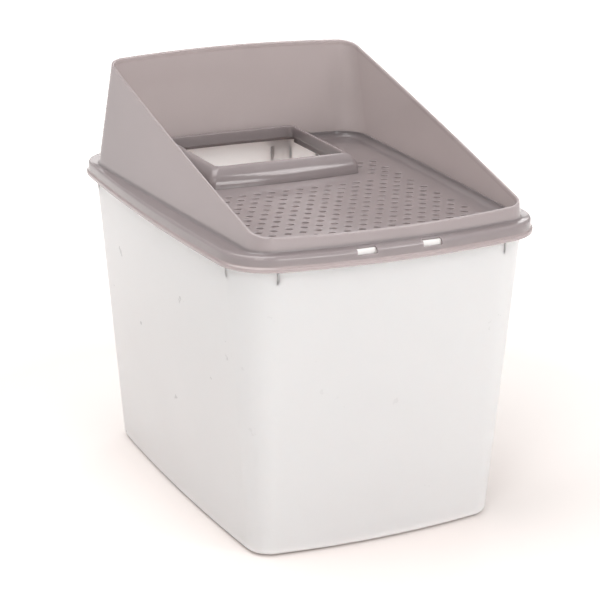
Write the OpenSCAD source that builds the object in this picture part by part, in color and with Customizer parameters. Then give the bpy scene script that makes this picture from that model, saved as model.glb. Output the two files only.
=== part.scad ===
// Top-entry cat litter box. A tapered tub stands on the floor. A hood clips over its rim and
// tilts open on two hinges at the rear. The hood is a ring wall cut off by one slanted plane,
// low at the front and high at the rear. Inside it lie a perforated step deck and, behind the
// step, a raised collar round the entry opening.
// Origin: centre of the footprint on the floor. +X is right, +Y is the rear, +Z is up.

/* [Tub] */
// Width of the tub at its rim, at the middle of the bowed sides
tub_top_w = 373; // [360:1:390]
// Depth of the tub at its rim, at the middle of the bowed ends
tub_top_d = 498; // [480:1:520]
// Width of the tub at its base
tub_base_w = 312; // [290:1:340]
// Depth of the tub at its base
tub_base_d = 440; // [410:1:470]
// Height of the tub's rim above the floor
tub_h = 355; // [300:1:420]
// Thickness of the tub's wall and floor
tub_wall = 3; // [2:0.1:4]
// Corner radius in plan at the rim
tub_top_r = 54; // [40:1:60]
// Corner radius in plan at the base
tub_base_r = 28; // [20:1:40]
// Radius of the edge between wall and underside
base_edge_r = 9; // [6:0.5:12]
// Height of the foot under the floor
foot_h = 2; // [1:0.5:4]

/* [Hood] */
// Clearance in plan between the tub's rim flange and the skirt
skirt_gap = 1.2; // [1:0.1:2]
// Height of the skirt from its lower lip to the ledge
skirt_h = 16.5; // [14:0.5:20]
// How far the lower lip of the skirt stands out
skirt_flare = 2; // [1:0.5:3]
// Thickness of the hood's wall
hood_wall = 2.8; // [2:0.1:3.2]
// Width of the hood at its slanted rim
rim_w = 331; // [310:1:336]
// Distance from the origin to the front of the slanted rim
rim_front = 244.5; // [238:0.5:246]
// Distance from the origin to the rear of the slanted rim
rim_rear = 205; // [190:1:215]
// Height of the slanted rim above the floor, over the origin
rim_mid_z = 435; // [430:1:450]
// Rise of the slanted rim per unit of depth
rim_slope = 0.25; // [0.2:0.01:0.26]
// Width of the bead along the slanted rim
bead_w = 3.3; // [3:0.1:6]

/* [Step deck] */
// Height of the deck's top face above the floor
deck_z = 354.5; // [352:0.5:356]
// Thickness of the deck
deck_t = 3; // [2:0.5:4]
// Diameter of a perforation
hole_d = 8; // [5:0.5:9]
// Distance between neighbouring perforations
hole_pitch = 18.3; // [16:0.1:18.5]
// Perforations in the first row, one fewer than in the second
hole_cols = 15; // [8:1:15]
// Full rows of perforations from the front wall to the collar
hole_rows = 15; // [6:1:15]

/* [Entry collar] */
// Width of the entry opening
entry_w = 168; // [140:1:168]
// Depth of the entry opening
entry_d = 148; // [130:1:148]
// Distance from the origin to the middle of the entry opening
entry_y = 124; // [121:0.5:124]
// Width of the collar's bolster at the front of the opening
bolster_front = 20; // [16:0.5:22]
// Width of the bolster at the sides of the opening
bolster_side = 14; // [12:0.5:16]
// Width of the bolster at the rear of the opening, where it runs back to the hood's wall
bolster_rear = 18; // [15:0.5:18]
// Height of the bolster above the deck
bolster_h = 23; // [18:0.5:26]

/* [Latches and hinges] */
// Distance of each front latch from the middle of the pair
latch_x = 39; // [30:1:60]
// Distance from the middle line to the middle of the pair of latches
latch_mid_x = -5; // [-10:1:10]
// Width of a latch lug
latch_w = 22; // [14:1:24]
// Distance of each rear hinge from the middle
hinge_x = 90; // [70:1:110]
// Diameter of a hinge pin
pin_d = 5; // [4:0.5:6]

/* [Hidden] */

white = "#efebea";
taupe = "#a79d9c";

// Points along a quarter of every plan outline: half a side, a corner, half an end
side_steps = 5;
corner_steps = 8;
end_steps = 6;

// How far the sides and ends bow outwards
top_bow = [11.5, 23];
base_bow = [8, 14];
rim_bow = [3, 13];
entry_bow = [0.8, 0.8];
bolster_bow = [0.8, 4.6];

// Outlines as [half width, half depth, corner radius, bows, offset of the middle in depth]
tub_top = [tub_top_w / 2, tub_top_d / 2, tub_top_r, top_bow, 0];
tub_base = [tub_base_w / 2, tub_base_d / 2, tub_base_r, base_bow, 0];
skirt_out = [tub_top_w / 2 + 6.5, tub_top_d / 2 + 9, tub_top_r + 2, top_bow, 0];
rim_r = 23;
rim_out = [rim_w / 2, (rim_front + rim_rear) / 2, rim_r, rim_bow, (rim_rear - rim_front) / 2];
entry_r = 6;
entry_in = [entry_w / 2, entry_d / 2, entry_r, entry_bow, entry_y];
collar_r = 8;
collar_out = [
  entry_w / 2 + bolster_side, (entry_d + bolster_front + bolster_rear) / 2, collar_r, bolster_bow,
  entry_y + (bolster_rear - bolster_front) / 2
];

// Heights on the hood
ledge_gap = 0.4;
ledge_z = tub_h + ledge_gap + hood_wall;
skirt_z = ledge_z - skirt_h;
foot_rise = 1.5;
wall_foot_z = ledge_z + foot_rise;
lip_h = 4;
edge_r = 4;
skirt_t = 2.5;
foot_fillet = 3;
bead_h = 6;

// Outward lean of the hood's wall towards its foot: sides, front and rear
lean_side = 0.15;
lean_front = 0.05;
lean_rear = 0.12;

// The tub's rim flange
flange_out = skirt_t + skirt_gap;
flange_t = 3;
flange_lip_h = 9;
flange_lip_t = 2.2;

// Gusset ribs under the flange
rib_t = 2.5;
rib_h = 28;
rib_out = 5;
rib_x = 137;
rib_y = 190;

// The deck
deck_gap = 0.4;
cove_r = 8;
cove_steps = 4;
cove_tip = 1.6;
row_pitch = hole_pitch * sqrt(3) / 2;
first_row_y = -224;
side_rows = 5;
side_cols = 2;
rim_clear = 0.8;
seat_clear = 0.3;

// The collar
collar_wall = 3;
collar_lip_h = 14;
collar_lip_t = 2.4;
collar_steps = 6;
crest_z = deck_z + bolster_h;
crest_share = 0.08;
rear_rise = 15;

// Front latches: a notch over the upper edge of the skirt and a lug on the tub's flange
notch_clear = 0.6;
notch_drop = 6;
notch_depth = 7.5;
lug_gap = 0.8;
lug_depth = 3.7;
lug_below = 0.5;

// Rear hinges
skirt_back_y = outline_y(skirt_out, hinge_x);
pin_y = skirt_back_y + 9.5;
pin_z = skirt_z - 5.5;
pin_clear = 0.3;
cheek_t = 3.5;
cheek_h = 10;
hook_w = 20;
hook_wall = 2.4;
cheek_gap = 0.6;
cheek_in = 22;
cheek_round = 4.5;
hook_rise = 9;

// ---- outlines ----

// Radius of a side of this half length that bows out by b
function bow_radius(half, b) = (half * half + b * b) / (2 * b);

// Half outline sizes after moving every side outwards by d
function grown(o, d) = [o[0] + d, o[1] + d, o[2] + d, o[3], o[4]];

// Outline between two others
function between(a, b, t) = [
  a[0] + (b[0] - a[0]) * t, a[1] + (b[1] - a[1]) * t, a[2] + (b[2] - a[2]) * t,
  a[3] + (b[3] - a[3]) * t, a[4] + (b[4] - a[4]) * t
];

function side_r(o) = bow_radius(o[1], o[3][0]);
function end_r(o) = bow_radius(o[0], o[3][1]);

// Middle of the corner arc, which touches the side arc and the end arc from inside
function corner_mid(o) =
  let (
    a = [o[0] - side_r(o), 0],
    b = [0, o[1] - end_r(o)],
    ra = side_r(o) - o[2],
    rb = end_r(o) - o[2],
    d = norm(b - a),
    along = (ra * ra - rb * rb + d * d) / (2 * d),
    across = sqrt(ra * ra - along * along),
    u = (b - a) / d,
    v = [u[1], -u[0]],
    p = a + u * along + v * across,
    q = a + u * along - v * across
  )
  p[0] + p[1] > q[0] + q[1] ? p : q;

// Angle at which the side arc gives way to the corner, and the corner to the end arc
function side_end_angle(o) = let (c = corner_mid(o)) atan2(c[1], c[0] - o[0] + side_r(o));
function end_start_angle(o) = let (c = corner_mid(o)) atan2(c[1] - o[1] + end_r(o), c[0]);

// One station of the outline's first quarter: a point and its outward normal
function on_arc(mid, r, a) = [mid[0] + r * cos(a), mid[1] + r * sin(a), cos(a), sin(a)];

function quarter(o) =
  let (
    a1 = side_end_angle(o),
    a2 = end_start_angle(o),
    c = corner_mid(o)
  )
  concat(
    [for (i = [0 : side_steps - 1]) on_arc([o[0] - side_r(o), 0], side_r(o), a1 * i / side_steps)],
    [for (i = [0 : corner_steps - 1]) on_arc(c, o[2], a1 + (a2 - a1) * i / corner_steps)],
    [for (i = [0 : end_steps]) on_arc([0, o[1] - end_r(o)], end_r(o), a2 + (90 - a2) * i / end_steps)]
  );

// All stations of an outline, anticlockwise from the middle of the right side
function stations(o) =
  let (q = quarter(o), n = len(q))
  concat(
    [for (i = [0 : n - 1]) [q[i][0], q[i][1] + o[4], q[i][2], q[i][3]]],
    [for (i = [n - 2 : -1 : 0]) [-q[i][0], q[i][1] + o[4], -q[i][2], q[i][3]]],
    [for (i = [1 : n - 1]) [-q[i][0], -q[i][1] + o[4], -q[i][2], -q[i][3]]],
    [for (i = [n - 2 : -1 : 1]) [q[i][0], -q[i][1] + o[4], q[i][2], -q[i][3]]]
  );

// A level ring of an outline, and the same outline as a flat shape
function level(o, z) = [for (s = stations(o)) [s[0], s[1], z]];
function flat(o) = [for (s = stations(o)) [s[0], s[1]]];

// Depth of an outline's rear end at a given distance from the middle line
function outline_y(o, x) = o[1] - end_r(o) + sqrt(end_r(o) * end_r(o) - x * x) + o[4];

// Closed skin over a list of rings that runs round the section of a hollow body
module skin(rings) {
  count = len(rings);
  n = len(rings[0]);
  polyhedron(
    points = [for (ring = rings) each ring],
    faces = [
      for (k = [0 : count - 1], i = [0 : n - 1])
        let (
          a = k * n + i,
          b = k * n + (i + 1) % n,
          c = ((k + 1) % count) * n + (i + 1) % n,
          d = ((k + 1) % count) * n + i
        )
        each [[a, c, b], [a, d, c]]
    ]
  );
}

// Solid cup: rings up the outside, then down the inside, closed by two flat caps
module cup(rings) {
  count = len(rings);
  n = len(rings[0]);
  polyhedron(
    points = [for (ring = rings) each ring],
    faces = concat(
      [
        for (k = [0 : count - 2], i = [0 : n - 1])
          let (
            a = k * n + i,
            b = k * n + (i + 1) % n,
            c = (k + 1) * n + (i + 1) % n,
            d = (k + 1) * n + i
          )
          each [[a, c, b], [a, d, c]]
      ],
      [[for (i = [0 : n - 1]) i]],
      [[for (i = [n - 1 : -1 : 0]) (count - 1) * n + i]]
    )
  );
}

// ---- tub ----

// The tub's outer outline at a height
function tub_at(z) = between(tub_base, tub_top, z / tub_h);

module tub() {
  flange = grown(skirt_out, -flange_out);
  inner_edge = max(base_edge_r - tub_wall, 2);
  floor_z = foot_h + tub_wall;
  color(white) {
    cup(concat(
      [
        for (i = [0 : 3])
          let (a = 90 * i / 3)
          level(grown(tub_at(foot_h), -base_edge_r * (1 - sin(a))), foot_h + base_edge_r * (1 - cos(a)))
      ],
      [
        level(tub_at(tub_h - flange_t), tub_h - flange_t),
        level(grown(flange, -flange_lip_t), tub_h - flange_t),
        level(grown(flange, -flange_lip_t), tub_h - flange_lip_h),
        level(flange, tub_h - flange_lip_h),
        level(flange, tub_h),
        level(grown(tub_top, -tub_wall), tub_h)
      ],
      [
        for (i = [3 : -1 : 0])
          let (a = 90 * i / 3)
          level(
            grown(tub_at(floor_z), -tub_wall - inner_edge * (1 - sin(a))),
            floor_z + inner_edge * (1 - cos(a))
          )
      ]
    ));
    foot();
    gusset_ribs();
  }
}

// Flat foot under the floor, set in from the rounded edge
module foot() {
  foot_in = base_edge_r + 1;
  sink = 0.5;
  linear_extrude(foot_h + sink)
    polygon(flat(grown(tub_base, -foot_in)));
}

// Two ribs near the corners of each side and each end
module gusset_ribs() {
  side_wall = tub_at(tub_h - rib_h);
  for (sx = [-1, 1], sy = [-1, 1]) {
    scale_side = 1 - pow(rib_y / side_wall[1], 2) * side_wall[3][0] / side_wall[0];
    translate([sx * side_wall[0] * scale_side, sy * rib_y, 0])
      rotate([0, 0, sx > 0 ? 0 : 180])
        rib();
    translate([sx * rib_x, sy * outline_y(side_wall, rib_x), 0])
      rotate([0, 0, sy > 0 ? 90 : -90])
        rib();
  }
}

// One rib, standing out along +X from a wall whose lower end passes through the origin
module rib() {
  sink = 1.5;
  top_z = tub_h - flange_t - 0.5;
  wall_out = (top_z - tub_h + rib_h) * (tub_top_w - tub_base_w) / 2 / tub_h;
  translate([0, rib_t / 2, 0])
    rotate([90, 0, 0])
      linear_extrude(rib_t)
        polygon([
          [-sink, tub_h - rib_h],
          [0, tub_h - rib_h],
          [rib_out, tub_h - flange_lip_h - 1],
          [rib_out, top_z],
          [wall_out - sink, top_z]
        ]);
}

// ---- front latches ----

// Lug on the rim flange that fills a notch of the skirt
module latch_lug(side) {
  mid_x = latch_mid_x + side * latch_x;
  face_y = -outline_y(skirt_out, mid_x) + skirt_t + lug_gap;
  foot_z = tub_h - flange_lip_h;
  color(white)
    translate([mid_x - latch_w / 2, face_y, foot_z])
      cube([latch_w, lug_depth, ledge_z - lug_below - foot_z]);
}

module latch_notches() {
  notch_w = latch_w + 2 * notch_clear;
  front = 5;
  above = 1;
  for (side = [-1, 1]) {
    mid_x = latch_mid_x + side * latch_x;
    face_y = -outline_y(skirt_out, mid_x);
    translate([mid_x - notch_w / 2, face_y - front, ledge_z - notch_drop])
      cube([notch_w, front + notch_depth, notch_drop + above]);
  }
}

// ---- hood ----

// Height of the slanted rim at a depth
function rim_z(y) = rim_mid_z + rim_slope * y;

// Outward shift per unit of drop at a station
function lean_at(s) = [s[2] * lean_side, s[3] * (s[3] < 0 ? lean_front : lean_rear)];

// The hood wall's outer face moved outwards by d, at a height
function wall_at(d, z) = [
  for (s = stations(rim_out))
    let (drop = rim_z(s[1]) - z, l = lean_at(s))
    [s[0] + l[0] * drop + s[2] * d, s[1] + l[1] * drop + s[3] * d, z]
];

// The same face moved outwards by d, at a drop below the slanted rim
function wall_below(d, drop) = [
  for (s = stations(rim_out))
    let (l = lean_at(s), x = s[0] + l[0] * drop + s[2] * d, y = s[1] + l[1] * drop + s[3] * d)
    [x, y, rim_z(y) - drop]
];

module hood_shell() {
  color(taupe)
    difference() {
      skin([
        level(grown(skirt_out, skirt_flare), skirt_z),
        level(grown(skirt_out, skirt_flare), skirt_z + lip_h),
        level(skirt_out, skirt_z + lip_h + skirt_flare),
        level(skirt_out, ledge_z - edge_r),
        level(grown(skirt_out, -edge_r * (1 - cos(45))), ledge_z - edge_r * (1 - sin(45))),
        level(grown(skirt_out, -edge_r), ledge_z),
        wall_at(foot_fillet, ledge_z + foot_rise / 2),
        wall_at(0, wall_foot_z + foot_fillet),
        wall_below(0, 0.8),
        wall_below(-0.8, 0),
        wall_below(-bead_w + 0.8, 0),
        wall_below(-bead_w, 0.8),
        wall_below(-bead_w, bead_h - 3),
        wall_below(-hood_wall, bead_h),
        wall_at(-hood_wall, ledge_z - hood_wall),
        level(grown(skirt_out, -skirt_t), ledge_z - hood_wall),
        level(grown(skirt_out, -skirt_t), skirt_z + lip_h + skirt_flare - 1),
        level(grown(skirt_out, skirt_flare - skirt_t), skirt_z + lip_h - 1),
        level(grown(skirt_out, skirt_flare - skirt_t), skirt_z)
      ]);
      latch_notches();
    }
}

// ---- step deck ----

module step_deck() {
  color(taupe)
    difference() {
      union() {
        deck_plate();
        deck_cove();
      }
      tub_rim_space();
      collar_seat();
      entry_cutout();
    }
}

// Room for the tub's rim round the lower part of the deck
module tub_rim_space() {
  low_z = deck_z - deck_t - 1;
  translate([0, 0, low_z])
    linear_extrude(tub_h + ledge_gap - low_z)
      difference() {
        square([tub_top_w + 100, tub_top_d + 100], center = true);
        polygon(flat(grown(tub_at(deck_z - deck_t), -tub_wall - rim_clear)));
      }
}

// Opening in the deck inside the collar's legs, carried on to the hood's rear wall
module entry_cutout() {
  below = 1;
  rear_w = 2 * (collar_out[0] - collar_r);
  translate([0, 0, deck_z - deck_t - below])
    linear_extrude(deck_t + cove_r + 2 * below) {
      polygon(flat(grown(collar_out, -collar_wall)));
      translate([-rear_w / 2, entry_y])
        square([rear_w, entry_d]);
    }
}

// Room for the collar's rear corners in the cove
module collar_seat() {
  translate([0, 0, deck_z])
    linear_extrude(cove_r + 1)
      polygon(flat(grown(collar_out, seat_clear)));
}

function deck_edge(inset, z) = wall_at(-hood_wall - deck_gap - inset, z);

module deck_plate() {
  translate([0, 0, deck_z - deck_t])
    linear_extrude(deck_t)
      difference() {
        polygon([for (p = deck_edge(0, deck_z)) [p[0], p[1]]]);
        perforations();
      }
}

// Staggered rows across the step, and short rows beside the collar
module perforations() {
  for (row = [0 : hole_rows - 1])
    perforation_row(row, hole_cols + row % 2, 0);
  for (row = [hole_rows : hole_rows + side_rows - 1], side = [-1, 1])
    perforation_row(row, side_cols, side * (hole_cols + row % 2 - side_cols) * hole_pitch / 2);
}

module perforation_row(row, count, mid_x) {
  y = first_row_y + row * row_pitch;
  for (i = [0 : count - 1])
    let (x = mid_x + (i - (count - 1) / 2) * hole_pitch)
      if (y - hole_d / 2 > front_cove_y(x))
        translate([x, y])
          circle(d = hole_d, $fn = 24);
}

// Depth at which the cove ends in front of the step
function front_cove_y(x) =
  let (o = grown(rim_out, -hood_wall - deck_gap - cove_tip - cove_r))
  2 * o[4] - outline_y(o, x);

// Rounded border between the deck and the hood's wall
module deck_cove() {
  sink = 1;
  skin(concat(
    [deck_edge(0, deck_z - sink), deck_edge(0, deck_z + cove_r)],
    [
      for (i = [0 : cove_steps])
        let (a = 90 * i / cove_steps)
        deck_edge(cove_tip + cove_r * (1 - cos(a)), deck_z + cove_r * (1 - sin(a)))
    ],
    [deck_edge(cove_tip + cove_r, deck_z - sink)]
  ));
}

// ---- entry collar ----

// Height of the bolster's foot: the deck, or higher at the rear, where it meets the hood's wall
function bolster_foot(s) = deck_z + rear_rise * min(max((s[3] - 0.2) / 0.6, 0), 1);

// Ring of the bolster at an angle round its quarter ellipse, between an inner and an outer outline
function bolster_ring(inner, outer, share, a, top) = [
  for (s = stations(between(inner, outer, share)))
    [s[0], s[1], bolster_foot(s) + (top - bolster_foot(s)) * sin(a)]
];

// Bolster: from a crest along the opening's edge the outside falls in a quarter ellipse to the
// deck, and a straight lip hangs into the opening
module entry_collar() {
  lip_z = crest_z - collar_lip_h;
  lip_back = grown(entry_in, collar_lip_t);
  leg_in = grown(collar_out, -collar_wall);
  color(taupe)
    skin(concat(
      [
        for (i = [0 : collar_steps])
          let (a = 90 * i / collar_steps, share = crest_share + (1 - crest_share) * cos(a))
          bolster_ring(entry_in, collar_out, share, a, crest_z)
      ],
      [
        level(entry_in, crest_z - 1),
        level(entry_in, lip_z),
        level(lip_back, lip_z)
      ],
      [
        for (i = [collar_steps - 1 : -1 : 0])
          let (a = 90 * i / collar_steps)
          bolster_ring(lip_back, leg_in, cos(a), a, crest_z - collar_wall)
      ]
    ));
}

// ---- rear hinges ----

// Pair of cheeks on the tub with a pin between them
module hinge_bracket(side) {
  inner_y = outline_y(tub_at(pin_z), hinge_x) - 2.5;
  span = hook_w + 2 * cheek_gap;
  color(white)
    translate([side * hinge_x, 0, 0]) {
      for (s = [-1, 1])
        translate([s * (span + cheek_t) / 2, 0, 0])
          cheek(inner_y);
      translate([-span / 2 - 1, pin_y, pin_z])
        rotate([0, 90, 0])
          cylinder(d = pin_d, h = span + 2, $fn = 48);
    }
}

module cheek(inner_y) {
  translate([-cheek_t / 2, 0, 0])
    rotate([90, 0, 90])
      linear_extrude(cheek_t)
        union() {
          polygon([
            [inner_y, pin_z - cheek_in],
            [pin_y, pin_z - cheek_round],
            [pin_y, pin_z + cheek_round],
            [inner_y, pin_z + cheek_round]
          ]);
          translate([pin_y, pin_z])
            circle(r = cheek_round, $fn = 48);
        }
}

// Open hook on the hood that turns on the pin
module hinge_hook(side) {
  bore_d = pin_d + 2 * pin_clear;
  barrel_d = bore_d + 2 * hook_wall;
  web_in = skirt_back_y - 1.2;
  mouth = pin_d * 0.7;
  color(taupe)
    translate([side * hinge_x - hook_w / 2, 0, 0])
      difference() {
        union() {
          translate([0, pin_y, pin_z])
            rotate([0, 90, 0])
              cylinder(d = barrel_d, h = hook_w, $fn = 48);
          translate([0, web_in, pin_z])
            cube([hook_w, pin_y - web_in, barrel_d / 2]);
          translate([0, web_in, pin_z])
            cube([hook_w, 4.5, hook_rise + barrel_d / 2]);
        }
        translate([-1, pin_y, pin_z])
          rotate([0, 90, 0])
            cylinder(d = bore_d, h = hook_w + 2, $fn = 48);
        translate([-1, pin_y, pin_z - mouth / 2])
          cube([hook_w + 2, barrel_d, mouth]);
      }
}

tub();
latch_lug(-1);  // front_latch_lug_left
latch_lug(1);  // front_latch_lug_right
hinge_bracket(-1);  // hinge_bracket_left
hinge_bracket(1);  // hinge_bracket_right
hood_shell();
hinge_hook(-1);  // hinge_hook_left
hinge_hook(1);  // hinge_hook_right
step_deck();
entry_collar();
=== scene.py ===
"""Looks for a top-entry cat litter box: white tub, taupe hood with a slanted rim, step and entry collar."""
import math

import bmesh
import bpy
import numpy as np
from mathutils import Matrix, Vector


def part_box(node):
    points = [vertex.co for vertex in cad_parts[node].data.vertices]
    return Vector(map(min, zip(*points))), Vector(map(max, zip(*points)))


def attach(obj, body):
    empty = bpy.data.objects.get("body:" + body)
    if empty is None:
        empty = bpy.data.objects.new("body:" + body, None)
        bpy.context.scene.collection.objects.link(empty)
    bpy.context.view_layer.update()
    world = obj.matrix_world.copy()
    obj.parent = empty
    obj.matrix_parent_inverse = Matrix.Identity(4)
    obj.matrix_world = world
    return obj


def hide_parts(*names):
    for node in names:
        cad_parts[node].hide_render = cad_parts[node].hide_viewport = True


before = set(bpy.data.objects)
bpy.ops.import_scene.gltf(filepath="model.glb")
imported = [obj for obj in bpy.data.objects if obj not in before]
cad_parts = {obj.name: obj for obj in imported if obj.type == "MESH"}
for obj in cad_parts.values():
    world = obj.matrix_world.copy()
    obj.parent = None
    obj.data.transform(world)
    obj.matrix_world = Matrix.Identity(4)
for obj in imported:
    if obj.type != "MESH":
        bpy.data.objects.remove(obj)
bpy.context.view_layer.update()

MM = 0.001

# ---- places taken from the frame, in metres ----

tub_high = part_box("tub")[1]
hood_low, hood_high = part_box("hood_shell")
collar_low, collar_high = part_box("entry_collar")

TUB_H = tub_high.z
DECK_Z = collar_low.z
SKIRT_Z = hood_low.z

# Plan outlines: half width, half depth, corner radius, bow of sides and of ends, middle in depth
SKIRT_FLARE = 2 * MM
SKIRT_OUT = (hood_high.x - SKIRT_FLARE, hood_high.y - SKIRT_FLARE, 56 * MM, (11.5 * MM, 23 * MM), 0.0)
TUB_TOP = (SKIRT_OUT[0] - 6.5 * MM, SKIRT_OUT[1] - 9 * MM, 54 * MM, (11.5 * MM, 23 * MM), 0.0)
TUB_BASE = (156 * MM, 220 * MM, 28 * MM, (8 * MM, 14 * MM), 0.0)
RIM_OUT = (165.5 * MM, 224.75 * MM, 23 * MM, (3 * MM, 13 * MM), -19.75 * MM)
BOLSTER_FRONT, BOLSTER_SIDE, BOLSTER_REAR = 20 * MM, 14 * MM, 18 * MM
COLLAR_OUT = (collar_high.x, (collar_high.y - collar_low.y) / 2, 8 * MM, (0.8 * MM, 4.6 * MM),
              (collar_high.y + collar_low.y) / 2)
ENTRY_IN = (COLLAR_OUT[0] - BOLSTER_SIDE, COLLAR_OUT[1] - (BOLSTER_FRONT + BOLSTER_REAR) / 2, 6 * MM,
            (0.8 * MM, 0.8 * MM), COLLAR_OUT[4] + (BOLSTER_FRONT - BOLSTER_REAR) / 2)

WALL = 3 * MM
HOOD_WALL = 2.8 * MM
LEDGE_Z = SKIRT_Z + 16.5 * MM
SKIRT_T = 2.5 * MM
LIP_H = 4 * MM
RIM_SLOPE = 0.25
RIM_MID_Z = hood_high.z - RIM_SLOPE * (RIM_OUT[4] + RIM_OUT[1])
LEAN_SIDE, LEAN_FRONT, LEAN_REAR = 0.15, 0.05, 0.12
BEAD_W = 3.3 * MM
BEAD_H = 6 * MM
NOTCH_CLEAR = 0.6 * MM
NOTCH_DEPTH = 7.5 * MM

SIDE_STEPS, CORNER_STEPS, END_STEPS = 14, 18, 16


# ---- plan outlines ----

def bow_radius(half, bow):
    return (half * half + bow * bow) / (2 * bow)


def grown(outline, d):
    """Outline with every side moved outwards by d."""
    half_w, half_d, r, bows, mid = outline
    return (half_w + d, half_d + d, r + d, bows, mid)


def between(a, b, t):
    """Outline a share t of the way from a to b."""
    bows = tuple(p + (q - p) * t for p, q in zip(a[3], b[3]))
    return tuple(a[i] + (b[i] - a[i]) * t for i in (0, 1, 2)) + (bows, a[4] + (b[4] - a[4]) * t)


def corner_mid(outline):
    """Middle of the corner arc, which touches the side arc and the end arc from inside."""
    half_w, half_d, r, (bow_side, bow_end), _ = outline
    r_side, r_end = bow_radius(half_d, bow_side), bow_radius(half_w, bow_end)
    a = np.array([half_w - r_side, 0.0])
    b = np.array([0.0, half_d - r_end])
    d = np.linalg.norm(b - a)
    along = ((r_side - r) ** 2 - (r_end - r) ** 2 + d * d) / (2 * d)
    across = math.sqrt((r_side - r) ** 2 - along * along)
    u = (b - a) / d
    v = np.array([u[1], -u[0]])
    return max((a + u * along + v * across, a + u * along - v * across), key=lambda p: p[0] + p[1])


def stations(outline):
    """Rows of x, y and outward normal, anticlockwise from the middle of the right side."""
    half_w, half_d, r, (bow_side, bow_end), mid_y = outline
    r_side, r_end = bow_radius(half_d, bow_side), bow_radius(half_w, bow_end)
    c = corner_mid(outline)
    a1 = math.atan2(c[1], c[0] - half_w + r_side)
    a2 = math.atan2(c[1] - half_d + r_end, c[0])
    arcs = [
        ((half_w - r_side, 0.0), r_side, 0.0, a1, SIDE_STEPS),
        (c, r, a1, a2, CORNER_STEPS),
        ((0.0, half_d - r_end), r_end, a2, math.pi / 2, END_STEPS),
    ]
    quarter = []
    for mid, radius, start, end, steps in arcs:
        for i in range(steps):
            a = start + (end - start) * i / steps
            out_x, out_y = math.cos(a), math.sin(a)
            quarter.append((mid[0] + radius * out_x, mid[1] + radius * out_y, out_x, out_y))
    quarter.append((0.0, half_d, 0.0, 1.0))
    q = np.array(quarter)
    flip = [np.array([sx, sy, sx, sy]) for sx, sy in ((1, 1), (-1, 1), (-1, -1), (1, -1))]
    loop = np.vstack([q[:-1] * flip[0], q[::-1][:-1] * flip[1], q[:-1] * flip[2], q[::-1][:-1] * flip[3]])
    loop[:, 1] += mid_y
    return loop


def end_y(outline, x):
    """Depth of an outline's rear end at a distance from the middle line."""
    r_end = bow_radius(outline[0], outline[3][1])
    return outline[1] - r_end + math.sqrt(r_end * r_end - x * x) + outline[4]


def level(outline, z):
    """Level ring of an outline."""
    s = stations(outline)
    return np.column_stack([s[:, :2], np.full(len(s), z)])


# ---- the hood's leaning wall ----

RIM_STATIONS = stations(RIM_OUT)
LEAN = np.column_stack([
    RIM_STATIONS[:, 2] * LEAN_SIDE,
    RIM_STATIONS[:, 3] * np.where(RIM_STATIONS[:, 3] < 0, LEAN_FRONT, LEAN_REAR),
])


def wall_at(d, z):
    """Ring of the hood's outer face moved outwards by d, at height z."""
    drop = RIM_MID_Z + RIM_SLOPE * RIM_STATIONS[:, 1] - z
    xy = RIM_STATIONS[:, :2] + LEAN * drop[:, None] + RIM_STATIONS[:, 2:] * d
    return np.column_stack([xy, np.full(len(xy), z)])


def wall_below(d, drop):
    """Ring of the hood's outer face moved outwards by d, at a drop below the slanted rim."""
    xy = RIM_STATIONS[:, :2] + LEAN * drop + RIM_STATIONS[:, 2:] * d
    return np.column_stack([xy, RIM_MID_Z + RIM_SLOPE * xy[:, 1] - drop])


# ---- meshes ----

def fillet(before, ring, after, radius, steps):
    """Rings along an arc that rounds the corner at ring between its two neighbours."""
    u, v = before - ring, after - ring
    lu = np.linalg.norm(u, axis=1, keepdims=True)
    lv = np.linalg.norm(v, axis=1, keepdims=True)
    u, v = u / lu, v / lv
    half = np.arccos(np.clip((u * v).sum(1, keepdims=True), -1, 1)) / 2
    cut = np.minimum(radius / np.tan(half), 0.48 * np.minimum(lu, lv))
    r = cut * np.tan(half)
    mid = ring + (u + v) / np.linalg.norm(u + v, axis=1, keepdims=True) * r / np.sin(half)
    start, end = ring + u * cut - mid, ring + v * cut - mid
    turn = math.pi - 2 * half
    rings = []
    for i in range(steps + 1):
        f = i / steps
        arc = (np.sin((1 - f) * turn) * start + np.sin(f * turn) * end) / np.sin(turn)
        rings.append(mid + arc)
    return rings


def rounded(rings, closed):
    """Rings from (ring, fillet radius) pairs, with each corner rounded where a radius is given."""
    out = []
    count = len(rings)
    for i, (ring, radius) in enumerate(rings):
        inside = closed or 0 < i < count - 1
        if radius and inside:
            steps = 5 if radius < 2.5 * MM else 8
            out += fillet(rings[i - 1][0], ring, rings[(i + 1) % count][0], radius, steps)
        else:
            out.append(ring)
    return out


def mesh_object(name, points, faces):
    mesh = bpy.data.meshes.new(name)
    mesh.from_pydata([tuple(p) for p in points], [], faces)
    mesh.validate()
    mesh.polygons.foreach_set("use_smooth", [True] * len(mesh.polygons))
    obj = bpy.data.objects.new(name, mesh)
    bpy.context.scene.collection.objects.link(obj)
    return obj


def loft(name, rings, closed):
    """Skin over a list of rings. An open section is closed by flat caps on its first and last rings."""
    n = len(rings[0])
    faces = []
    for k in range(len(rings) - (0 if closed else 1)):
        a, b = k * n, ((k + 1) % len(rings)) * n
        faces += [(a + i, a + (i + 1) % n, b + (i + 1) % n, b + i) for i in range(n)]
    if not closed:
        faces.append(tuple(range(n - 1, -1, -1)))
        faces.append(tuple((len(rings) - 1) * n + i for i in range(n)))
    return mesh_object(name, np.vstack(rings), faces)


def even_normals(obj, angle=40):
    """Shading that keeps broad faces flat and lets only the small fillets turn."""
    obj.data.set_sharp_from_angle(angle=math.radians(angle))
    mod = obj.modifiers.new("normals", "WEIGHTED_NORMAL")
    mod.keep_sharp = True
    mod.weight = 80


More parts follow.
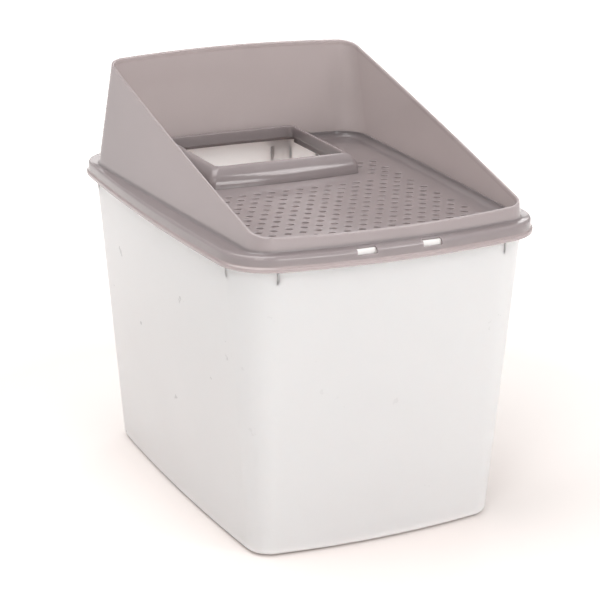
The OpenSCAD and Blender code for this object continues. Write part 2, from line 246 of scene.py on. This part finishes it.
def apply_modifiers(obj):
    depsgraph = bpy.context.evaluated_depsgraph_get()
    mesh = bpy.data.meshes.new_from_object(obj.evaluated_get(depsgraph))
    old = obj.data
    obj.modifiers.clear()
    obj.data = mesh
    bpy.data.meshes.remove(old)


def cut_away(obj, cutter):
    """Takes the cutter's volume out of a mesh."""
    mod = obj.modifiers.new("cut", "BOOLEAN")
    mod.operation = "DIFFERENCE"
    mod.solver = "EXACT"
    mod.object = cutter
    apply_modifiers(obj)
    bpy.data.objects.remove(cutter)


def join(target, others):
    """Adds the meshes of other objects to the target's mesh."""
    bm = bmesh.new()
    bm.from_mesh(target.data)
    for other in others:
        bm.from_mesh(other.data)
        bpy.data.objects.remove(other)
    bm.to_mesh(target.data)
    bm.free()


def rounded_box(name, low, high, radius, segments=4):
    """Box with every edge rounded."""
    bm = bmesh.new()
    bmesh.ops.create_cube(bm, size=1.0)
    size = Vector(high) - Vector(low)
    mid = (Vector(high) + Vector(low)) / 2
    for v in bm.verts:
        v.co = mid + Vector((v.co.x * size.x, v.co.y * size.y, v.co.z * size.z))
    bmesh.ops.bevel(bm, geom=bm.edges[:], offset=radius, segments=segments, profile=0.5, affect="EDGES")
    mesh = bpy.data.meshes.new(name)
    bm.to_mesh(mesh)
    bm.free()
    mesh.polygons.foreach_set("use_smooth", [True] * len(mesh.polygons))
    obj = bpy.data.objects.new(name, mesh)
    bpy.context.scene.collection.objects.link(obj)
    return obj


# ---- tub ----

BASE_EDGE_R = 9 * MM
FOOT_H = 2 * MM
FLANGE_OUT = grown(SKIRT_OUT, -SKIRT_T - 1.2 * MM)
FLANGE_T = 3 * MM
FLANGE_LIP_H = 9 * MM
FLANGE_LIP_T = 2.2 * MM


def tub_at(z):
    return between(TUB_BASE, TUB_TOP, z / TUB_H)


def make_tub():
    floor_z = FOOT_H + WALL
    foot = grown(tub_at(0), -BASE_EDGE_R - 1 * MM)
    panel = grown(foot, -16 * MM)
    inner = grown(FLANGE_OUT, -FLANGE_LIP_T)
    heights = [0.1, 0.25, 0.4, 0.55, 0.7, 0.85]
    outside_z = [FOOT_H + (TUB_H - FOOT_H) * t for t in heights]
    outside = [(level(tub_at(z), z), 0) for z in outside_z]
    inside = [(level(grown(tub_at(TUB_H * t), -WALL), TUB_H * t), 0) for t in reversed(heights)]
    rings = [
        (level(grown(panel, -3 * MM), 1.2 * MM), 0),
        (level(panel, 1.2 * MM), 1.2 * MM),
        (level(grown(panel, 1.5 * MM), 0), 1.0 * MM),
        (level(foot, 0), 0.8 * MM),
        (level(foot, FOOT_H), 0.5 * MM),
        (level(tub_at(FOOT_H), FOOT_H), BASE_EDGE_R),
        *outside,
        (level(tub_at(TUB_H - FLANGE_T), TUB_H - FLANGE_T), 1.5 * MM),
        (level(inner, TUB_H - FLANGE_T), 1.0 * MM),
        (level(inner, TUB_H - FLANGE_LIP_H), 0.7 * MM),
        (level(FLANGE_OUT, TUB_H - FLANGE_LIP_H), 0.7 * MM),
        (level(FLANGE_OUT, TUB_H), 2.0 * MM),
        (level(grown(TUB_TOP, -WALL), TUB_H), 1.4 * MM),
        *inside,
        (level(grown(tub_at(floor_z), -WALL), floor_z), 7 * MM),
        (level(grown(tub_at(floor_z), -WALL - 20 * MM), floor_z), 0),
    ]
    tub = loft("tub_moulding", rounded(rings, closed=False), closed=False)
    join(tub, gusset_ribs())
    even_normals(tub)
    return tub


RIB_T = 2.5 * MM
RIB_H = 28 * MM
RIB_OUT = 5 * MM
RIB_X = 137 * MM
RIB_Y = 190 * MM


def gusset_ribs():
    """Two tapering ribs under the flange near the corners of each side and each end."""
    foot_z = TUB_H - RIB_H
    wall = tub_at(foot_z)
    side_r = bow_radius(wall[1], wall[3][0])
    side_x = wall[0] - side_r + math.sqrt(side_r * side_r - RIB_Y * RIB_Y)
    ribs = []
    for sx in (-1, 1):
        for sy in (-1, 1):
            ribs.append(rib((sx * side_x, sy * RIB_Y), (sx, 0)))
            ribs.append(rib((sx * RIB_X, sy * end_y(wall, RIB_X)), (0, sy)))
    return ribs


def rib(foot, out):
    """One rib that stands out from the wall at foot along the direction out."""
    top_z = TUB_H - FLANGE_T - 0.5 * MM
    sink = 1.5 * MM
    profile = [
        (-sink, TUB_H - RIB_H - 4 * MM),
        (0.2 * MM, TUB_H - RIB_H),
        (RIB_OUT, TUB_H - FLANGE_LIP_H - 1 * MM),
        (RIB_OUT, top_z),
        (-sink, top_z),
    ]
    base = Vector((foot[0], foot[1], 0))
    along = Vector((out[0], out[1], 0))
    across = Vector((-out[1], out[0], 0)) * (RIB_T / 2)
    points = [base + along * d + Vector((0, 0, z)) + across * side for side in (-1, 1) for d, z in profile]
    n = len(profile)
    faces = [tuple(range(n)), tuple(range(2 * n - 1, n - 1, -1))]
    faces += [(i, i + n, (i + 1) % n + n, (i + 1) % n) for i in range(n)]
    obj = mesh_object("rib", points, faces)
    bm = bmesh.new()
    bm.from_mesh(obj.data)
    bmesh.ops.recalc_face_normals(bm, faces=bm.faces[:])
    bmesh.ops.bevel(bm, geom=bm.edges[:], offset=0.5 * MM, segments=2, profile=0.5, affect="EDGES")
    bm.to_mesh(obj.data)
    bm.free()
    obj.data.polygons.foreach_set("use_smooth", [True] * len(obj.data.polygons))
    return obj


# ---- hood ----

def make_hood():
    foot_z = LEDGE_Z + 1.5 * MM
    flare = grown(SKIRT_OUT, SKIRT_FLARE)
    flare_in = grown(SKIRT_OUT, SKIRT_FLARE - SKIRT_T)
    skirt_in = grown(SKIRT_OUT, -SKIRT_T)
    rings = [
        (level(flare, SKIRT_Z), 0.9 * MM),
        (level(flare, SKIRT_Z + LIP_H), 1.2 * MM),
        (level(SKIRT_OUT, SKIRT_Z + LIP_H + 1.5 * MM), 1.5 * MM),
        (level(SKIRT_OUT, LEDGE_Z), 4.5 * MM),
        (wall_at(0, foot_z), 3.5 * MM),
        (wall_below(0, 12 * MM), 0),
        (wall_below(0, 0), 1.3 * MM),
        (wall_below(-BEAD_W, 0), 1.3 * MM),
        (wall_below(-BEAD_W, BEAD_H - 1.5 * MM), 1.0 * MM),
        (wall_below(-HOOD_WALL, BEAD_H), 1.0 * MM),
        (wall_below(-HOOD_WALL, 12 * MM), 0),
        (wall_at(-HOOD_WALL, LEDGE_Z - HOOD_WALL), 1.0 * MM),
        (level(skirt_in, LEDGE_Z - HOOD_WALL), 2.0 * MM),
        (level(skirt_in, SKIRT_Z + LIP_H + 1 * MM), 0.8 * MM),
        (level(flare_in, SKIRT_Z + LIP_H - 1 * MM), 0.8 * MM),
        (level(flare_in, SKIRT_Z), 0.5 * MM),
    ]
    hood = loft("hood_moulding", rounded(rings, closed=True), closed=True)
    for word in ("left", "right"):
        cut_away(hood, latch_notch(word))
    even_normals(hood)
    return hood


def latch_notch(word):
    """Cutter for the notch over the upper edge of the skirt that a latch lug fills."""
    low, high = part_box("front_latch_lug_" + word)
    face_y = -end_y(SKIRT_OUT, (low.x + high.x) / 2)
    low_corner = (low.x - NOTCH_CLEAR, face_y - 5 * MM, LEDGE_Z - 6 * MM)
    high_corner = (high.x + NOTCH_CLEAR, face_y + NOTCH_DEPTH, LEDGE_Z + 3 * MM)
    return rounded_box("notch", low_corner, high_corner, 1.2 * MM)


def make_lug(word):
    """Latch lug: a small block with rounded edges."""
    low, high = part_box("front_latch_lug_" + word)
    return rounded_box("latch_lug_" + word, low, high, 0.9 * MM)


# ---- step deck ----

DECK_T = 3 * MM
DECK_GAP = 0.4 * MM
COVE_R = 8 * MM
COVE_TIP = 1.6 * MM
HOLE_D = 8 * MM
HOLE_PITCH = 18.3 * MM
HOLE_COLS = 15
HOLE_ROWS = 15
SIDE_ROWS = 5
SIDE_COLS = 2
FIRST_ROW_Y = -224 * MM
ROW_PITCH = HOLE_PITCH * math.sqrt(3) / 2
COLLAR_WALL = 3 * MM
SEAT_GAP = 0.3 * MM
RIM_ROOM = 0.8 * MM
HOLE_EDGE_R = 0.9 * MM
HOLE_SIDES = 28


def make_deck():
    def edge(inset, z):
        return wall_at(-HOOD_WALL - DECK_GAP - inset, z)

    cove = []
    steps = 8
    for i in range(steps + 1):
        a = math.pi / 2 * i / steps
        cove.append((edge(COVE_TIP + COVE_R * (1 - math.cos(a)), DECK_Z + COVE_R * (1 - math.sin(a))), 0))
    low_z = DECK_Z - DECK_T
    rings = [
        (edge(1 * MM, low_z), 0),
        (edge(0, low_z), 0.5 * MM),
        (edge(0, DECK_Z + COVE_R), 0.5 * MM),
        *cove,
        (edge(COVE_TIP + COVE_R + 2 * MM, DECK_Z), 0),
    ]
    deck = loft("deck_moulding", rounded(rings, closed=False), closed=False)
    for cutter in (rim_space(low_z - 1 * MM), *entry_cutters(low_z - 1 * MM), hole_cutters()):
        cut_away(deck, cutter)
    even_normals(deck, angle=50)
    return deck


def rim_space(low_z):
    """Cutter for the room of the tub's rim round the lower part of the deck."""
    inner = grown(tub_at(DECK_Z - DECK_T), -WALL - RIM_ROOM)
    outer = grown(inner, 50 * MM)
    high_z = TUB_H + 0.4 * MM
    rings = [level(outer, low_z), level(outer, high_z), level(inner, high_z), level(inner, low_z)]
    return loft("rim_space", rings, closed=True)


def entry_cutters(low_z):
    """Cutters for the opening inside the collar, its way to the rear, and the collar's seat in the cove."""
    high_z = DECK_Z + COVE_R + 1 * MM
    inside = grown(COLLAR_OUT, -COLLAR_WALL)
    seat = grown(COLLAR_OUT, SEAT_GAP)
    half_w = COLLAR_OUT[0] - COLLAR_WALL - 0.4 * MM
    return (
        loft("opening", [level(inside, low_z), level(inside, high_z)], closed=False),
        rounded_box("way_out", (-half_w, ENTRY_IN[4], low_z), (half_w, ENTRY_IN[4] + 0.15, high_z), 0.5 * MM),
        loft("seat", [level(seat, DECK_Z), level(seat, high_z)], closed=False),
    )


def hole_centres():
    """Middles of the perforations: staggered rows across the step, and short rows beside the collar."""
    cove = grown(RIM_OUT, -HOOD_WALL - DECK_GAP - COVE_TIP - COVE_R)
    centres = []
    for row in range(HOLE_ROWS + SIDE_ROWS):
        y = FIRST_ROW_Y + row * ROW_PITCH
        odd = row % 2
        if row < HOLE_ROWS:
            groups = [(0.0, HOLE_COLS + odd)]
        else:
            mid = (HOLE_COLS + odd - SIDE_COLS) * HOLE_PITCH / 2
            groups = [(-mid, SIDE_COLS), (mid, SIDE_COLS)]
        for mid_x, count in groups:
            for i in range(count):
                x = mid_x + (i - (count - 1) / 2) * HOLE_PITCH
                if y - HOLE_D / 2 > 2 * cove[4] - end_y(cove, x):
                    centres.append((x, y))
    return centres


def hole_cutters():
    """One mesh of spools that cut the perforations with rounded rims."""
    rim_r, sides = HOLE_EDGE_R, HOLE_SIDES
    profile = [(HOLE_D / 2 + rim_r, DECK_Z + 1 * MM)]
    for i in range(5):
        a = math.pi / 2 * i / 4
        profile.append((HOLE_D / 2 + rim_r * (1 - math.sin(a)), DECK_Z - rim_r * (1 - math.cos(a))))
    profile.append((HOLE_D / 2, DECK_Z - DECK_T - 1 * MM))
    points, faces = [], []
    for x, y in hole_centres():
        start = len(points)
        for r, z in profile:
            for k in range(sides):
                a = 2 * math.pi * k / sides
                points.append((x + r * math.cos(a), y + r * math.sin(a), z))
        for j in range(len(profile) - 1):
            for k in range(sides):
                a, b = start + j * sides + k, start + j * sides + (k + 1) % sides
                faces.append((a, a + sides, b + sides, b))
        faces.append(tuple(start + k for k in range(sides)))
        last = start + (len(profile) - 1) * sides
        faces.append(tuple(last + sides - 1 - k for k in range(sides)))
    return mesh_object("hole_cutters", points, faces)


# ---- entry collar ----

REAR_RISE = 15 * MM
LIP_DROP = 14 * MM
LIP_T = 2.4 * MM
CREST = 0.06
BOLSTER_STEPS = 14


def bolster_ring(inner, outer, share, angle, top):
    """Ring of the bolster at an angle round its quarter ellipse, between an inner and an outer outline."""
    s = stations(between(inner, outer, share))
    foot = DECK_Z + REAR_RISE * np.clip((s[:, 3] - 0.2) / 0.6, 0, 1)
    return np.column_stack([s[:, :2], foot + (top - foot) * math.sin(angle)])


def make_collar():
    top = collar_high.z
    lip_z = top - LIP_DROP
    lip_back = grown(ENTRY_IN, LIP_T)
    leg_in = grown(COLLAR_OUT, -COLLAR_WALL)
    angles = [math.pi / 2 * i / BOLSTER_STEPS for i in range(BOLSTER_STEPS + 1)]
    outside = [
        (bolster_ring(ENTRY_IN, COLLAR_OUT, CREST + (1 - CREST) * math.cos(a), a, top), 0) for a in angles
    ]
    inside = [
        (bolster_ring(lip_back, leg_in, math.cos(a), a, top - COLLAR_WALL), 0) for a in reversed(angles[:-1])
    ]
    rings = [
        *outside,
        (level(ENTRY_IN, top), 0.7 * MM),
        (level(ENTRY_IN, lip_z), 0.8 * MM),
        (level(lip_back, lip_z), 0.8 * MM),
        *inside,
    ]
    collar = loft("collar_moulding", rounded(rings, closed=True), closed=True)
    even_normals(collar)
    return collar


# ---- hinge parts ----

def softened(node, name, radius):
    """Copy of a CAD node with its edges rounded."""
    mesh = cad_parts[node].data.copy()
    bm = bmesh.new()
    bm.from_mesh(mesh)
    bmesh.ops.remove_doubles(bm, verts=bm.verts[:], dist=0.02 * MM)
    bmesh.ops.dissolve_limit(bm, angle_limit=math.radians(2), verts=bm.verts[:], edges=bm.edges[:])
    bm.to_mesh(mesh)
    bm.free()
    mesh.materials.clear()
    mesh.polygons.foreach_set("use_smooth", [True] * len(mesh.polygons))
    obj = bpy.data.objects.new(name, mesh)
    bpy.context.scene.collection.objects.link(obj)
    bevel = obj.modifiers.new("bevel", "BEVEL")
    bevel.width = radius
    bevel.segments = 3
    bevel.limit_method = "ANGLE"
    bevel.angle_limit = math.radians(35)
    bevel.harden_normals = False
    apply_modifiers(obj)
    even_normals(obj)
    return obj


# ---- materials ----

def set_inputs(shader, values):
    for socket, value in values.items():
        shader.inputs[socket].default_value = value


def plastic(name, colour, shade, rough, coat, subsurface):
    """Moulded polypropylene: faint cloudy colour, fine grain, soft waviness, and worn marks in the gloss."""
    mat = bpy.data.materials.new(name)
    mat.use_nodes = True
    tree = mat.node_tree
    nodes, links = tree.nodes, tree.links
    shader = nodes["Principled BSDF"]
    set_inputs(shader, {
        "IOR": 1.49, "Coat Weight": coat, "Coat Roughness": 0.08,
        "Subsurface Weight": subsurface, "Subsurface Scale": 0.03,
    })
    shader.inputs["Subsurface Radius"].default_value = (1.0, 0.9, 0.87)
    place = nodes.new("ShaderNodeTexCoord")

    def noise(scale, detail, seed):
        node = nodes.new("ShaderNodeTexNoise")
        node.noise_dimensions = "4D"
        set_inputs(node, {"W": seed, "Scale": scale, "Detail": detail, "Roughness": 0.55})
        links.new(place.outputs["Object"], node.inputs["Vector"])
        return node

    def remap(source, low, high, to_low, to_high):
        node = nodes.new("ShaderNodeMapRange")
        set_inputs(node, {"From Min": low, "From Max": high, "To Min": to_low, "To Max": to_high})
        links.new(source, node.inputs["Value"])
        return node.outputs["Result"]

    clouds = noise(5.5, 3, 1.7)
    tint = nodes.new("ShaderNodeMix")
    tint.data_type = "RGBA"
    tint.inputs["A"].default_value = (*colour, 1)
    tint.inputs["B"].default_value = (*[c * shade for c in colour], 1)
    links.new(remap(clouds.outputs["Fac"], 0.35, 0.65, 0.0, 1.0), tint.inputs["Factor"])
    links.new(tint.outputs["Result"], shader.inputs["Base Color"])

    smears = noise(38, 4, 4.2)
    links.new(remap(smears.outputs["Fac"], 0.3, 0.7, rough * 0.85, rough * 1.18), shader.inputs["Roughness"])

    waves = nodes.new("ShaderNodeBump")
    set_inputs(waves, {"Strength": 0.08, "Distance": 0.0012})
    links.new(noise(14, 2, 7.7).outputs["Fac"], waves.inputs["Height"])
    grain = nodes.new("ShaderNodeBump")
    set_inputs(grain, {"Strength": 0.04, "Distance": 0.0001})
    links.new(noise(700, 2, 9.1).outputs["Fac"], grain.inputs["Height"])
    links.new(waves.outputs["Normal"], grain.inputs["Normal"])
    links.new(grain.outputs["Normal"], shader.inputs["Normal"])
    return mat


def floor_material():
    """Pale matt floor that glows softly far from the box, as a lit studio backdrop does."""
    mat = bpy.data.materials.new("pale_floor")
    mat.use_nodes = True
    nodes, links = mat.node_tree.nodes, mat.node_tree.links
    shader = nodes["Principled BSDF"]
    set_inputs(shader, {
        "Base Color": (0.74, 0.72, 0.705, 1), "Roughness": 0.9, "Specular IOR Level": 0.1,
        "Emission Color": (1.0, 1.0, 1.0, 1),
    })
    place = nodes.new("ShaderNodeTexCoord")
    away = nodes.new("ShaderNodeVectorMath")
    away.operation = "LENGTH"
    links.new(place.outputs["Object"], away.inputs[0])
    glow = nodes.new("ShaderNodeMapRange")
    set_inputs(glow, {"From Min": 0.5, "From Max": 1.6, "To Min": 0.0, "To Max": 0.6})
    links.new(away.outputs["Value"], glow.inputs["Value"])
    links.new(glow.outputs["Result"], shader.inputs["Emission Strength"])
    return mat


# ---- stage ----

def make_floor():
    size = 12.0
    points = [(-size, -size, 0), (size, -size, 0), (size, size, 0), (-size, size, 0)]
    floor = mesh_object("floor", points, [(0, 1, 2, 3)])
    floor.data.materials.append(floor_material())


LAMP_COLOUR = (1.0, 0.975, 0.965)


def area_light(name, place, aim, width, height, watts):
    light = bpy.data.lights.new(name, "AREA")
    light.shape = "RECTANGLE"
    light.size, light.size_y = width, height
    light.energy = watts
    light.color = LAMP_COLOUR
    obj = bpy.data.objects.new(name, light)
    obj.location = place
    obj.rotation_euler = (Vector(aim) - Vector(place)).to_track_quat("-Z", "Y").to_euler()
    bpy.context.scene.collection.objects.link(obj)
    return obj


def make_lights():
    world = bpy.data.worlds.new("studio")
    world.use_nodes = True
    background = world.node_tree.nodes["Background"]
    set_inputs(background, {"Color": (1.0, 0.98, 0.97, 1), "Strength": 0.6})
    bpy.context.scene.world = world
    middle = (0, 0, 0.25)
    area_light("key", (-1.7, -2.0, 2.0), middle, 0.9, 1.4, 20)
    area_light("front_low", (0.4, -2.8, 0.7), middle, 1.2, 1.0, 24)
    area_light("front_right", (1.4, -2.2, 2.2), middle, 0.8, 1.2, 21)
    area_light("rear_right", (1.8, 1.8, 1.8), middle, 1.2, 1.2, 12)
    area_light("overhead", (-0.6, 0.2, 2.6), middle, 2.0, 2.0, 53)
    area_light("left_low", (-2.6, 0.45, 0.3), middle, 2.6, 0.5, 3)
    area_light("deck_glare", (1.05, 2.2, 1.1), (0.0, -0.2, 0.35), 1.5, 0.7, 4)


def make_camera():
    """Camera in front of the box, to its left and above it."""
    azimuth, elevation, roll = math.radians(-25.77), math.radians(18.54), math.radians(0.5)
    distance = 2.4338
    shift = Vector((-2.96 * MM, -35.17 * MM))
    back = Vector((
        math.sin(azimuth) * math.cos(elevation), -math.cos(azimuth) * math.cos(elevation), math.sin(elevation)
    ))
    right = (-back).cross(Vector((0, 0, 1))).normalized()
    up = right.cross(-back)
    right_rolled = right * math.cos(roll) + up * math.sin(roll)
    up_rolled = up * math.cos(roll) - right * math.sin(roll)
    target = Vector((0, 0, 0.25)) + right_rolled * shift.x + up_rolled * shift.y
    data = bpy.data.cameras.new("camera")
    data.lens = 123.94
    data.sensor_width = 36
    data.shift_x, data.shift_y = 0.0061, 0.00675
    camera = bpy.data.objects.new("camera", data)
    axes = Matrix((right_rolled, up_rolled, back)).transposed().to_4x4()
    camera.matrix_world = Matrix.Translation(target + back * distance) @ axes
    bpy.context.scene.collection.objects.link(camera)
    bpy.context.scene.camera = camera


# ---- assembly ----

def place_piece(piece, material, body, node):
    piece.data.materials.clear()
    piece.data.materials.append(material)
    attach(piece, body)
    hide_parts(node)


white = plastic("white_plastic", (0.95, 0.865, 0.85), 0.98, 0.32, 0.1, 0.9)
latch_white = plastic("latch_white", (0.64, 0.63, 0.625), 0.99, 0.3, 0.1, 0.0)
taupe = plastic("taupe_plastic", (0.226, 0.196, 0.199), 0.97, 0.11, 0.0, 0.55)

make_camera()
place_piece(make_tub(), white, "base", "tub")
place_piece(make_hood(), taupe, "lid", "hood_shell")
place_piece(make_deck(), taupe, "lid", "step_deck")
place_piece(make_collar(), taupe, "lid", "entry_collar")
for word in ("left", "right"):
    place_piece(make_lug(word), latch_white, "base", "front_latch_lug_" + word)
    bracket = softened("hinge_bracket_" + word, "bracket_" + word, 0.6 * MM)
    place_piece(bracket, white, "base", "hinge_bracket_" + word)
    hook = softened("hinge_hook_" + word, "hook_" + word, 0.5 * MM)
    place_piece(hook, taupe, "lid", "hinge_hook_" + word)

make_floor()
make_lights()
bpy.context.scene.view_settings.view_transform = "Standard"
